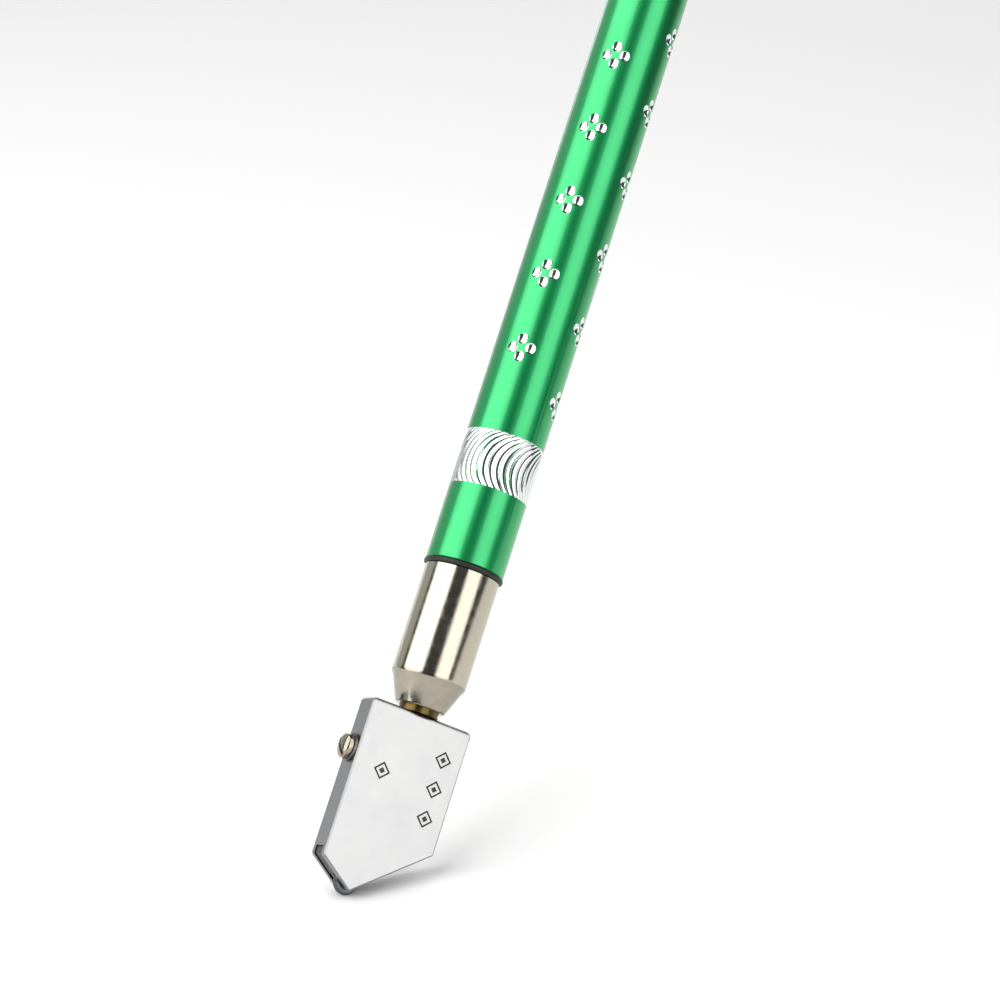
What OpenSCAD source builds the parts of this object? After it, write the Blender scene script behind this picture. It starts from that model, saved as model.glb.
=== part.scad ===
// Oil-fed pencil-grip glass cutter with a wide swivel head.
// Frame: +Z runs along the handle axis towards the tail, +X to the right across the head,
// and the front face of the head looks towards -Y.
// The origin is on the handle axis, at the centre of the plain grip stretch
// between the front rim of the tube and the fly-cut band.

/* [Handle tube] */
// Outer diameter of the tube, which is the grip diameter
tube_d = 12; // [11.5:0.1:15]
// Wall thickness of the tube
tube_wall = 0.8; // [0.6:0.05:1]
// Length of the tube
tube_len = 116; // [90:1:150]
// Length of the plain grip stretch between the front rim and the fly-cut band
grip_len = 11.8; // [9:0.1:16]
// Length of the fly-cut band
band_len = 8.6; // [5:0.1:12]
// Depth to which the fly-cut band is turned below the grip diameter
band_depth = 0.08; // [0.05:0.01:0.15]

/* [Flower dimples] */
// Number of columns of flowers around the tube, every second one staggered
flower_columns = 4; // [2:2:4]
// Distance between flowers along one column
flower_pitch = 12.1; // [9:0.5:16]
// Distance from the end of the fly-cut band to the first flower
flower_start = 7.2; // [4:0.1:12]
// Angle of the first column from the +X axis
flower_angle = 138; // [0:1:180]
// Plain length left between the last flower and the tail end of the tube
flower_margin = 5; // [4:0.5:15]
// Number of ball dimples in one flower
petals = 4; // [3:1:5]
// Distance of a dimple from the middle of its flower
petal_offset = 1.4; // [1.1:0.05:1.6]
// Angle by which the four dimples of a flower are turned
petal_turn = 5; // [0:1:45]
// Diameter of a dimple at the tube's surface
dimple_d = 1.75; // [1.2:0.05:1.8]
// Depth of a dimple
dimple_depth = 0.3; // [0.15:0.01:0.35]

/* [Ferrule] */
// Thickness of the black seal ring between tube and ferrule
ring_t = 0.7; // [0.4:0.05:1.5]
// Diameter of the seal ring over that of the tube
ring_over = 0.2; // [0:0.05:0.4]
// Diameter of the ferrule under that of the tube
ferrule_step = 0.6; // [0.2:0.05:1]
// Length of the straight part of the ferrule in front of the seal ring
ferrule_len = 16.9; // [15:0.1:22]
// Length of the tapered nose of the ferrule
nose_len = 4.25; // [3:0.1:6]
// Diameter of the ferrule at the front of its nose
nose_d = 7.6; // [7.2:0.1:9]
// Length of the ferrule's spigot inside the tube
spigot_len = 10; // [7:0.1:14]
// Length of the bore that guides the stem
guide_len = 9; // [8:0.1:9.5]
// Diameter of the counterbore that holds the valve
valve_bore = 8.2; // [8:0.05:8.4]

/* [Valve] */
// Diameter of the stem where it slides in the ferrule
stem_d = 6; // [5.6:0.1:6.2]
// Radial clearance of the stem in the ferrule
stem_fit = 0.03; // [0.02:0.01:0.05]
// Distance that the head can be pressed in to open the valve
press_travel = 0.5; // [0.3:0.05:0.6]
// Diameter of the stem's flange
flange_d = 7.7; // [7.2:0.1:7.8]
// Thickness of the stem's flange
flange_t = 1.6; // [1:0.1:2.5]
// Thickness of the rubber valve washer under the flange
valve_washer_t = 0.6; // [0.4:0.05:1]
// Diameter of the stub that centres the spring
stub_d = 4.2; // [3.6:0.1:4.6]
// Length of the stub that centres the spring
stub_len = 3; // [2:0.1:4]
// Diameter of the oil bore in the stem
oil_bore = 1.2; // [1:0.05:1.4]
// Diameter of the cross hole that feeds the oil bore
cross_hole = 0.9; // [0.8:0.05:1.1]
// Diameter of the relief in the stem around the cross hole
relief_d = 5; // [4.6:0.1:5.2]
// Length of the relief around the cross hole
relief_len = 1.3; // [1.2:0.05:1.4]
// Outer diameter of the rod seal
seal_d = 8.6; // [8:0.1:8.8]
// Width of the rod seal
seal_w = 1.6; // [1.2:0.1:2]
// Distance of the rod seal from the inner end of the guide bore
seal_setback = 2.4; // [2:0.1:3]
// Wire diameter of the valve spring
wire_d = 0.6; // [0.4:0.05:0.7]
// Length of the valve spring as fitted
spring_len = 10.5; // [8:0.1:12]
// Number of turns of the valve spring
spring_turns = 6; // [4:1:8]
// Thickness of the pressed ring that the spring bears on
seat_t = 2; // [1.5:0.1:3]
// Diameter of the oil hole in that ring
seat_hole = 3; // [2:0.1:3.5]

/* [Head] */
// Width of the head
head_w = 16.4; // [14:0.1:20]
// Thickness of the head
head_t = 4.9; // [4.7:0.1:7]
// Height of the left side of the head
head_left = 24; // [22:0.1:30]
// Height of the right side of the head
head_right = 18.9; // [16:0.1:24]
// Distance from the top of the head down to its tip
head_tip = 27.8; // [27:0.1:34]
// Distance of the tip to the left of the handle axis
tip_shift = 2.7; // [0:0.1:3]
// Radius of the two top corners
corner_r = 0.6; // [0.3:0.1:1.5]
// Chamfer along the edges of the front and back faces
edge_chamfer = 0.25; // [0.15:0.05:0.35]
// Diameter of the stem's pivot inside the head
pivot_d = 3.6; // [3.4:0.1:3.8]
// Length of the stem's pivot inside the head
pivot_len = 12; // [10:0.1:14]
// Radial clearance of the pivot in the head
pivot_fit = 0.03; // [0.02:0.01:0.05]
// Angle that the head swivels to each side
swivel = 15; // [5:1:20]
// Outer diameter of the brass thrust washer
thrust_d = 6.2; // [6:0.1:6.6]
// Thickness of the brass thrust washer
thrust_t = 0.3; // [0.2:0.05:0.35]
// Diameter of the oil passage from the pivot bore to the wheel slot
passage_d = 1.6; // [1.2:0.1:2]

/* [Side screw] */
// Distance of the screw below the top of the head
screw_drop = 7.9; // [7:0.1:9.5]
// Nominal diameter of the screw
screw_d = 2.5; // [2:0.1:3]
// Diameter of the screw's head
screw_head_d = 3.9; // [3.6:0.1:4.5]
// Height of the screw's head
screw_head_h = 1.5; // [1:0.1:2]
// Width of the driver slot
driver_w = 0.6; // [0.4:0.05:0.8]
// Depth of the driver slot
driver_depth = 0.7; // [0.4:0.05:0.9]
// Diameter of the dog point that enters the groove of the pivot
dog_d = 1.2; // [1:0.05:1.3]
// Depth of the groove in the pivot
groove_depth = 0.6; // [0.5:0.05:0.7]
// Outer diameter of the split lock washer
lock_d = 4.3; // [4.2:0.1:5]
// Thickness of the split lock washer
lock_t = 0.5; // [0.3:0.05:0.7]

/* [Wheel and yoke] */
// Diameter of the cutting wheel
wheel_d = 4; // [3.6:0.1:4.8]
// Thickness of the cutting wheel
wheel_t = 1.6; // [1:0.05:1.8]
// Cutting angle of the wheel's edge
wheel_angle = 134; // [115:1:160]
// Distance that the wheel stands out below the tip
wheel_out = 0.6; // [0.4:0.05:1]
// Diameter of the wheel's axle
axle_d = 0.8; // [0.6:0.05:1]
// Radial clearance of the wheel on its axle
axle_fit = 0.02; // [0.01:0.01:0.04]
// Side clearance of the wheel in its yoke
wheel_play = 0.07; // [0.04:0.01:0.1]
// Thickness of the folded sheet of the yoke
sheet_t = 0.45; // [0.3:0.05:0.5]
// Diameter of the pin that holds the yoke in the slot
yoke_pin_d = 0.8; // [0.6:0.1:1]
// Distance that the felt strips sit back from the outline of the head
felt_recess = 0.12; // [0.1:0.01:0.3]

/* [Tail] */
// Length of the collar's plug inside the tube
plug_len = 7; // [6:0.1:10]
// Thickness of the collar's rim behind the tube
rim_t = 1.2; // [0.8:0.1:2]
// Diameter of the cap's threaded spigot
cap_spigot_d = 7; // [6:0.1:8]
// Length of the cap's threaded spigot
cap_spigot_len = 6; // [4:0.1:6.5]
// Thickness of the cap's gasket
gasket_t = 0.7; // [0.5:0.1:1]
// Diameter of the cap under that of the tube
cap_step = 0.4; // [0.2:0.1:1]
// Length of the knurled part of the cap
cap_len = 7; // [5:0.1:12]
// Height of the cap's domed end
cap_dome = 1.2; // [0.6:0.1:2]
// Number of ridges of the knurling
knurl_count = 30; // [20:1:40]
// Depth of the knurling
knurl_depth = 0.3; // [0.15:0.05:0.4]

/* [Hidden] */
$fn = 64;
eps = 0.05;                    // how far a cut runs past the face it opens
thread_fit = 0.05;             // radial clearance that stands for a screw thread
seal_fit = 0.04;               // radial clearance of the rubber rings on the moving stem
play = 0.1;                    // clearance between parts that only need to pass each other
neck_play = 0.15;              // gap left under the ferrule when the head is pressed right in
spring_play = 0.25;            // radial clearance of the spring around its stub
wick_back = 0.3;               // distance of the wick's end from the relief
bore_over = 0.3;               // how far the head's bore runs past the end of the pivot
groove_play = 0.08;            // clearance of the dog point on each side of its groove
groove_over = 2;               // angle by which the groove runs past each end of the swivel
shank_back = 0.5;              // distance of the screw's full thread from the pivot
lock_turn = 40;                // angle at which the lock washer is split
lock_split = 15;               // angle of the lock washer's split
slot_play = 0.03;              // clearance of the yoke on each side of its slot
cheek_over = 0.2;              // how far the yoke's cheeks reach past the wheel
cheek_lift = 0.3;              // how far the cheeks stop above the head's outline
pin_back = 0.35;               // distance of the yoke pin from the wheel
pin_skin = 0.5;                // steel left in front of the blind end of the yoke pin's hole
felt_play = 0.05;              // clearance of the felt strips
felt_blunt = 0.2;              // height of the right strip's blunt end
dome_step = 0.25;              // step from the knurling's valleys in to the cap's dome
gasket_inset = 0.2;            // distance of the gasket's edge inside the knurling's valleys

// stations along the handle axis
rim_z = -grip_len / 2;
band_z = grip_len / 2;
tail_z = rim_z + tube_len;
tube_bore = tube_d - 2 * tube_wall;
ferrule_d = tube_d - ferrule_step;
ferrule_z = rim_z - ring_t;
nose_z = ferrule_z - ferrule_len;
ferrule_end = nose_z - nose_len;
floor_z = ferrule_end + guide_len;
flange_z = floor_z + valve_washer_t;
stub_z = flange_z + flange_t;
seat_z = stub_z + spring_len;
spring_d = stub_d + wire_d + 2 * spring_play;
neck_gap = press_travel + thrust_t + neck_play;
head_z = ferrule_end - neck_gap;
shoulder_z = head_z + thrust_t;
pivot_end = head_z - pivot_len;
bore_end = pivot_end - bore_over;

// outline of the head, as x and z
left_x = -head_w / 2;
right_x = head_w / 2;
tip_x = -tip_shift;
left_z = head_z - head_left;
right_z = head_z - head_right;
tip_z = head_z - head_tip;
OUTLINE = [[left_x, head_z], [left_x, left_z], [tip_x, tip_z], [right_x, right_z], [right_x, head_z]];
function left_bevel(x) = tip_z + (left_z - tip_z) * (tip_x - x) / (tip_x - left_x);
function right_bevel(x) = tip_z + (right_z - tip_z) * (x - tip_x) / (right_x - tip_x);

// side screw and the groove that it runs in
screw_z = head_z - screw_drop;
dog_tip = pivot_d / 2 - groove_depth + play;
groove_w = dog_d + 2 * groove_play;
groove_half = swivel + asin(dog_d / 2 / dog_tip) + groove_over;
screw_end = pivot_d / 2 + shank_back;

// wheel, yoke and slot
wheel_z = tip_z + wheel_d / 2 - wheel_out;
yoke_gap = wheel_t + 2 * wheel_play;
yoke_w = yoke_gap + 2 * sheet_t;
slot_w = yoke_w + 2 * slot_play;
yoke_half = wheel_d / 2 + cheek_over;
yoke_pin_z = wheel_z + wheel_d / 2 + pin_back + yoke_pin_d / 2;
yoke_top = yoke_pin_z + yoke_pin_d / 2 + eps + sheet_t;
slot_z = yoke_top + slot_play;
felt_t = slot_w - 2 * felt_play;

// tail
plug_z = tail_z - plug_len;
rim_end = tail_z + rim_t;
cap_z = rim_end + gasket_t;
collar_bore = cap_spigot_d + 2 * thread_fit;
cap_d = tube_d - cap_step;

// A cylinder along the handle axis between two stations.
module rod(d, z0, z1) {
    translate([0, 0, z0]) cylinder(d = d, h = z1 - z0);
}

// A flat ring around the handle axis.
module ring(d, bore, z0, z1) {
    difference() {
        rod(d, z0, z1);
        rod(bore, z0 - eps, z1 + eps);
    }
}

// The ball cuts of one flower at angle a and station z on the tube.
module flower(a, z) {
    ball_r = (dimple_d * dimple_d / 4 + dimple_depth * dimple_depth) / (2 * dimple_depth);
    for (k = [0 : petals - 1]) {
        t = petal_turn + k * 360 / petals;
        arc = petal_offset * cos(t) / (tube_d / 2) * 180 / PI;
        rotate([0, 0, a + arc])
            translate([tube_d / 2 - dimple_depth + ball_r, 0, z + petal_offset * sin(t)])
                sphere(r = ball_r, $fn = 24);
    }
}

// The anodised tube: bored through, with the fly-cut band turned a little smaller
// and staggered columns of flowers behind it.
module handle_tube() {
    color("#1eae55") difference() {
        rod(tube_d, rim_z, tail_z);
        rod(tube_bore, rim_z - eps, tail_z + eps);
        ring(tube_d + 1, tube_d - 2 * band_depth, band_z, band_z + band_len);
        for (c = [0 : flower_columns - 1]) {
            first = band_z + band_len + flower_start + (c % 2) * flower_pitch / 2;
            for (z = [first : flower_pitch : tail_z - flower_margin])
                flower(flower_angle + c * 360 / flower_columns, z);
        }
    }
}

// The thin black ring squeezed between the tube's rim and the ferrule's shoulder.
module seal_ring() {
    color("#10120f") ring(tube_d + ring_over, tube_bore, ferrule_z, rim_z);
}

// The nickel-plated nose: a spigot pressed into the tube, a straight barrel and a taper,
// bored as the stem's guide with a groove for the rod seal and a counterbore for the valve.
module ferrule() {
    color("#cfcac0") difference() {
        union() {
            rod(tube_bore, ferrule_z - eps, ferrule_z + spigot_len);
            rod(ferrule_d, nose_z, ferrule_z);
            translate([0, 0, ferrule_end])
                cylinder(d1 = nose_d, d2 = ferrule_d, h = nose_len);
        }
        rod(stem_d + 2 * stem_fit, ferrule_end - eps, floor_z + eps);
        rod(seal_d, floor_z - seal_setback - seal_w, floor_z - seal_setback);
        rod(valve_bore, floor_z, ferrule_z + spigot_len + eps);
    }
}

// The rubber ring that keeps oil from running out along the stem.
module rod_seal() {
    color("#1a1a1a")
        ring(seal_d, stem_d + 2 * seal_fit, floor_z - seal_setback - seal_w, floor_z - seal_setback);
}

// The ring pressed into the counterbore that the spring bears on, with its oil hole.
module spring_seat() {
    color("#c9a24a") ring(valve_bore, seat_hole, seat_z, seat_z + seat_t);
}

// The helical compression spring that shuts the valve.
module valve_spring() {
    sides = 8;
    steps = 16 * spring_turns;
    rise = spring_len - wire_d;
    points = [
        for (i = [0 : steps], j = [0 : sides - 1])
            let (a = 360 * spring_turns * i / steps, b = 360 * j / sides,
                 r = (spring_d + wire_d * cos(b)) / 2)
            [r * cos(a), r * sin(a), stub_z + (wire_d + wire_d * sin(b)) / 2 + rise * i / steps]
    ];
    walls = [
        for (i = [0 : steps - 1], j = [0 : sides - 1])
            let (k = (j + 1) % sides)
            [i * sides + j, i * sides + k, (i + 1) * sides + k, (i + 1) * sides + j]
    ];
    start_cap = [for (j = [sides - 1 : -1 : 0]) j];
    end_cap = [for (j = [0 : sides - 1]) steps * sides + j];
    color("#b9bcc0") polyhedron(points, concat(walls, [start_cap], [end_cap]));
}

// The brass collar pressed into the tail, threaded for the cap.
module tail_collar() {
    color("#c8a552") difference() {
        union() {
            rod(tube_bore, plug_z, tail_z + eps);
            rod(tube_d, tail_z, rim_end);
        }
        rod(collar_bore, plug_z - eps, rim_end + eps);
    }
}

// The sliding stem: valve flange and spring stub above, pivot for the head below,
// with an oil bore, its cross hole and the groove that limits the swivel.
module stem() {
    groove_z = screw_z - groove_w / 2;
    relief_z = floor_z - relief_len;
    relief_end = floor_z - play;
    color("#d2b469") difference() {
        union() {
            rod(pivot_d, pivot_end, shoulder_z + eps);
            rod(stem_d, shoulder_z, flange_z + eps);
            rod(flange_d, flange_z, stub_z);
            rod(stub_d, stub_z - eps, stub_z + stub_len);
        }
        rod(oil_bore, pivot_end - eps, relief_end);
        ring(stem_d + 1, relief_d, relief_z, relief_end);
        translate([0, 0, relief_z + relief_len / 2 - cross_hole / 2])
            rotate([90, 0, 0]) cylinder(d = cross_hole, h = stem_d + 1, center = true);
        translate([0, 0, groove_z])
            rotate([0, 0, 180 - groove_half])
                rotate_extrude(angle = 2 * groove_half)
                    translate([pivot_d / 2 - groove_depth, 0]) square([groove_depth + eps, groove_w]);
    }
}

// The rubber washer under the stem's flange, which shuts on the counterbore's floor.
module valve_washer() {
    color("#232323") ring(flange_d, stem_d, floor_z, flange_z);
}

// The cotton wick that meters the oil in the stem's bore.
module stem_wick() {
    color("#e8e2d0") rod(oil_bore - play, pivot_end, floor_z - relief_len - wick_back);
}

// The head's outline with its two rounded top corners, set in by a distance, as a plate.
module head_plate(inset, thick) {
    translate([0, thick / 2, 0]) rotate([90, 0, 0]) linear_extrude(height = thick)
        offset(delta = -inset) hull() {
            polygon([OUTLINE[1], OUTLINE[2], OUTLINE[3]]);
            for (s = [-1, 1])
                translate([s * (head_w / 2 - corner_r), head_z - corner_r]) circle(r = corner_r);
        }
}

// The five-sided steel head with its pivot bore, oil passage, screw hole and wheel slot.
module head_block() {
    color("#dcdcda") difference() {
        hull() {
            head_plate(0, head_t - 2 * edge_chamfer);
            head_plate(edge_chamfer, head_t);
        }
        rod(pivot_d + 2 * pivot_fit, bore_end, head_z + eps);
        rod(passage_d, slot_z - eps, bore_end + eps);
        translate([left_x - eps, 0, screw_z])
            rotate([0, 90, 0]) cylinder(d = screw_d, h = head_w / 2);
        translate([0, 0, tip_z + (slot_z - tip_z) / 2])
            cube([head_w + 1, slot_w, slot_z - tip_z + 2 * eps], center = true);
        translate([tip_x, pin_skin - head_t / 2, yoke_pin_z])
            rotate([-90, 0, 0]) cylinder(d = yoke_pin_d, h = head_t);
    }
}

// The brass washer between the stem's shoulder and the head.
module thrust_washer() {
    color("#c9a24a") ring(thrust_d, pivot_d + play, head_z, shoulder_z);
}

// The slotted screw that holds the head on: its dog point runs in the pivot's groove.
module side_screw() {
    flat_h = screw_head_h * 0.4;
    dome_h = screw_head_h - flat_h;
    dome_r = (screw_head_d * screw_head_d / 4 + dome_h * dome_h) / (2 * dome_h);
    color("#d6d3cc") translate([left_x, 0, screw_z]) rotate([0, -90, 0]) difference() {
        union() {
            translate([0, 0, lock_t]) cylinder(d = screw_head_d, h = flat_h);
            intersection() {
                translate([0, 0, lock_t + screw_head_h - dome_r]) sphere(r = dome_r);
                translate([0, 0, lock_t + flat_h - eps]) cylinder(d = screw_head_d, h = dome_h + 1);
            }
            translate([0, 0, left_x + screw_end])
                cylinder(d = screw_d - 2 * thread_fit, h = lock_t - left_x - screw_end + eps);
            translate([0, 0, left_x + dog_tip])
                cylinder(d = dog_d, h = screw_end - dog_tip + eps);
        }
        translate([0, 0, lock_t + screw_head_h])
            cube([screw_head_d + 1, driver_w, 2 * driver_depth], center = true);
    }
}

// The split spring washer under the screw's head.
module lock_washer() {
    inner = screw_d / 2 + play;
    color("#6d6a58") translate([left_x, 0, screw_z]) rotate([0, -90, 0])
        rotate([0, 0, lock_turn]) rotate_extrude(angle = 360 - lock_split)
            translate([inner, 0]) square([lock_d / 2 - inner, lock_t]);
}

// The folded sheet yoke: two cheeks and the web that joins them above the wheel.
module wheel_yoke() {
    a = tip_x - yoke_half;
    b = tip_x + yoke_half;
    cheek = [[a, yoke_top], [a, left_bevel(a) + cheek_lift], [tip_x, tip_z + cheek_lift + play],
             [b, right_bevel(b) + cheek_lift], [b, yoke_top]];
    color("#a9abad") difference() {
        translate([0, yoke_w / 2, 0]) rotate([90, 0, 0]) linear_extrude(height = yoke_w) polygon(cheek);
        translate([a - 1, -yoke_gap / 2, tip_z - 1])
            cube([2 * yoke_half + 2, yoke_gap, yoke_top - sheet_t - tip_z + 1]);
        for (z = [wheel_z, yoke_pin_z])
            translate([tip_x, 0, z]) rotate([90, 0, 0])
                cylinder(d = z == wheel_z ? axle_d : yoke_pin_d, h = yoke_w + 1, center = true);
    }
}

// The pin driven in from the back through both cheeks of the yoke.
module yoke_pin() {
    color("#8f9194") translate([tip_x, head_t / 2 - play, yoke_pin_z])
        rotate([90, 0, 0]) cylinder(d = yoke_pin_d, h = head_t - play - pin_skin);
}

// The wheel's axle, held between the cheeks.
module axle_pin() {
    color("#9a9c9f") translate([tip_x, 0, wheel_z])
        rotate([90, 0, 0]) cylinder(d = axle_d, h = yoke_w, center = true);
}

// The two felt strips that fill the slot on either side of the yoke.
module felt_strips() {
    a = tip_x - yoke_half - felt_play;
    b = tip_x + yoke_half + felt_play;
    top = slot_z - felt_play;
    drop = felt_recess / cos(atan2(left_z - tip_z, tip_x - left_x));
    left_strip = [[left_x + felt_recess, top],
                  [left_x + felt_recess, left_bevel(left_x + felt_recess) + drop],
                  [a, left_bevel(a) + drop], [a, top]];
    reach = tip_x + (top - drop - felt_blunt - tip_z) * (right_x - tip_x) / (right_z - tip_z);
    right_strip = [[b, top], [b, right_bevel(b) + drop], [reach, right_bevel(reach) + drop], [reach, top]];
    color("#4a4436") for (strip = [left_strip, right_strip])
        translate([0, felt_t / 2, 0]) rotate([90, 0, 0]) linear_extrude(height = felt_t) polygon(strip);
}

// The carbide wheel: a disc bevelled from both faces to one cutting edge.
module cutting_wheel() {
    bevel = wheel_t / 2 / tan(wheel_angle / 2);
    r = wheel_d / 2;
    bore_r = axle_d / 2 + axle_fit;
    h = wheel_t / 2;
    color("#8a8c90") translate([tip_x, 0, wheel_z]) rotate([90, 0, 0]) rotate_extrude()
        polygon([[bore_r, -h], [r - bevel, -h], [r, 0], [r - bevel, h], [bore_r, h]]);
}

// The knurled filler cap with its threaded spigot.
module tail_cap() {
    outer = cap_d / 2;
    inner = outer - knurl_depth;
    section = [
        for (i = [0 : 2 * knurl_count - 1])
            let (a = 180 * i / knurl_count, r = i % 2 == 0 ? outer : inner)
            [r * cos(a), r * sin(a)]
    ];
    rim = inner - dome_step;
    dome_r = (rim * rim + cap_dome * cap_dome) / (2 * cap_dome);
    color("#cfcac0") {
        rod(cap_spigot_d, rim_end - cap_spigot_len, cap_z + eps);
        translate([0, 0, cap_z]) linear_extrude(height = cap_len) polygon(section);
        intersection() {
            translate([0, 0, cap_z + cap_len + cap_dome - dome_r]) sphere(r = dome_r);
            rod(2 * rim, cap_z + cap_len - eps, cap_z + cap_len + cap_dome + 1);
        }
    }
}

// The rubber gasket that the cap squeezes against the collar.
module cap_gasket() {
    color("#15161a") ring(cap_d - 2 * (knurl_depth + gasket_inset), cap_spigot_d, rim_end, cap_z);
}

handle_tube();
seal_ring();
ferrule();
rod_seal();
spring_seat();
valve_spring();
tail_collar();
stem();
valve_washer();
stem_wick();
head_block();
thrust_washer();
side_screw();
lock_washer();
wheel_yoke();
yoke_pin();
axle_pin();
felt_strips();
cutting_wheel();
tail_cap();
cap_gasket();
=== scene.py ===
import math

import bpy
from mathutils import Matrix, Vector, noise


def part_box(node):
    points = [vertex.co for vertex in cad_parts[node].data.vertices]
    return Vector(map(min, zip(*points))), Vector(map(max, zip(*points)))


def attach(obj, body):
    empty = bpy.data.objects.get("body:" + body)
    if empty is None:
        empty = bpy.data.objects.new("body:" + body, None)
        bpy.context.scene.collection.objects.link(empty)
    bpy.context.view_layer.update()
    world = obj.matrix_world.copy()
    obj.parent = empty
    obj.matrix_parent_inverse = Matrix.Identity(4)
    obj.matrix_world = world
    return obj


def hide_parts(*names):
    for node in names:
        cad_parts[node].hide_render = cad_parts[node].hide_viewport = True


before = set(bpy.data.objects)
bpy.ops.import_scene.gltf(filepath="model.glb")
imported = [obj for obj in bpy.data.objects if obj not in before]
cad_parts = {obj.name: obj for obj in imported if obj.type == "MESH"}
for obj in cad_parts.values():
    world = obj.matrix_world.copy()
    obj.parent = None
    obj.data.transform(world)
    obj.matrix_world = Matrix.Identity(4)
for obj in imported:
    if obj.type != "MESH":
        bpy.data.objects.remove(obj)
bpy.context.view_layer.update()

MM = 0.001


# --- Camera, floor and light -------------------------------------------------
# The cutter is held with its wheel on the floor and its tail leaning away and to the
# right. A pale sweep of floor lies under it, between two tall soft boxes.
def mm_box(node):
    """The lowest and highest corners of a frame node, in millimetres."""
    low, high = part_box(node)
    return low / MM, high / MM


def linear(hex_colour):
    """An sRGB hex colour as linear red, green, blue and alpha."""
    values = [int(hex_colour[i:i + 2], 16) / 255 for i in (1, 3, 5)]
    return [v / 12.92 if v <= 0.04045 else ((v + 0.055) / 1.055) ** 2.4 for v in values] + [1.0]


def add_node(tree, kind, inputs=None, **settings):
    """A node with its settings, and its inputs set to values or linked to other nodes' outputs."""
    node = tree.nodes.new(kind)
    for name, value in settings.items():
        setattr(node, name, value)
    for name, value in (inputs or {}).items():
        if isinstance(value, bpy.types.NodeSocket):
            tree.links.new(value, node.inputs[name])
        else:
            node.inputs[name].default_value = value
    return node


def new_material(name):
    """An empty node material, its tree and its surface shader."""
    material = bpy.data.materials.new(name)
    material.use_nodes = True
    return material, material.node_tree, material.node_tree.nodes["Principled BSDF"]


def deselect():
    """Clears the selection, so that the next tool works on its own piece alone."""
    if bpy.context.object and bpy.context.object.mode != "OBJECT":
        bpy.ops.object.mode_set(mode="OBJECT")
    bpy.ops.object.select_all(action="DESELECT")


azimuth, elevation, roll = (math.radians(a) for a in (-22.36, -12.44, 17.78))
camera_distance = 450 * MM
rim_off_centre = (-5.33 * MM, -10.3 * MM)      # the tube's front rim, off the middle of the view
lens = 109.25

toward = Vector((math.sin(azimuth) * math.cos(elevation), -math.cos(azimuth) * math.cos(elevation),
                 math.sin(elevation)))
level = Vector((math.cos(azimuth), math.sin(azimuth), 0))
across = level * math.cos(roll) + toward.cross(level) * math.sin(roll)
upward = toward.cross(across)
front_rim = Vector((0, 0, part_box("handle_tube")[0].z))
aim = front_rim - across * rim_off_centre[0] - upward * rim_off_centre[1]

camera = bpy.data.objects.new("camera", bpy.data.cameras.new("camera"))
camera.data.lens = lens
camera.data.sensor_width = 36
camera.data.clip_start = 0.01
bpy.context.scene.collection.objects.link(camera)
camera.matrix_world = Matrix.Translation(aim + toward * camera_distance) @ Matrix(
    (across, upward, toward)).transposed().to_4x4()
bpy.context.scene.camera = camera

floor_pitch = math.radians(20)                 # how steeply the camera looks down on the floor
floor_up = upward * math.cos(floor_pitch) + toward * math.sin(floor_pitch)
touch = min((v.co.dot(floor_up), v.co.copy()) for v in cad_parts["cutting_wheel"].data.vertices)
touch_point = Vector(touch[1])
floor_side = upward.cross(toward)
floor_away = floor_up.cross(floor_side)
floor_front, floor_back, floor_half = 0.45, 1.6, 0.75     # metres from the wheel to the paper's edges
floor_gap = 0.02 * MM                          # left under the wheel
deselect()
bpy.ops.mesh.primitive_grid_add(x_subdivisions=4, y_subdivisions=4, size=1)
floor = bpy.context.object
floor.name = "studio_floor"
floor.matrix_world = Matrix.Translation(
    touch_point - floor_up * floor_gap + floor_away * (floor_back - floor_front) / 2) @ Matrix(
    (floor_side, floor_away, floor_up)).transposed().to_4x4() @ Matrix.Diagonal(
    (2 * floor_half, floor_back + floor_front, 1, 1))
# White seamless paper. Its underside is left out, so that low views from behind see past it.
white_paper, tree, shader = new_material("white_paper_sweep")
shader.inputs["Base Color"].default_value = linear("#F4F4F3")
shader.inputs["Roughness"].default_value = 0.85
underside = add_node(tree, "ShaderNodeNewGeometry").outputs["Backfacing"]
clear = add_node(tree, "ShaderNodeBsdfTransparent")
paper = add_node(tree, "ShaderNodeMixShader", {0: underside, 1: shader.outputs[0], 2: clear.outputs[0]})
tree.links.new(paper.outputs[0], tree.nodes["Material Output"].inputs["Surface"])
floor.data.materials.append(white_paper)

lit_station = 20 * MM                          # the point on the handle that every box faces


def soft_box(name, turn, lift, distance, width, height, radiance, colour="#FFFFFF"):
    """A tall soft box, turned about the handle from the camera's side and lifted along it."""
    middle = Vector((0, 0, lit_station))
    out = Matrix.Rotation(math.radians(turn), 3, "Z") @ Vector((toward.x, toward.y, 0)).normalized()
    out = (out * math.cos(math.radians(lift)) + Vector((0, 0,
                                                        1)) * math.sin(math.radians(lift))).normalized()
    light = bpy.data.objects.new(name, bpy.data.lights.new(name, "AREA"))
    light.data.shape = "RECTANGLE"
    light.data.size = width
    light.data.size_y = height
    light.data.energy = radiance * math.pi * width * height
    light.data.color = linear(colour)[:3]
    bpy.context.scene.collection.objects.link(light)
    side = Vector((0, 0, 1)).cross(out).normalized()
    light.matrix_world = Matrix.Translation(middle + out * distance) @ Matrix(
        (side, out.cross(side), out)).transposed().to_4x4()
    return light


soft_box("left_fill_box", -122, 12, 0.7, 0.6, 1.3, 0.5)
soft_box("left_soft_box", -56, 12, 0.6, 0.72, 1.3, 2.6)
soft_box("right_soft_box", 36, 12, 0.6, 0.46, 1.3, 2.1)
soft_box("back_soft_box", 176, 45, 1.6, 2.2, 1.6, 2.2)

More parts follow.
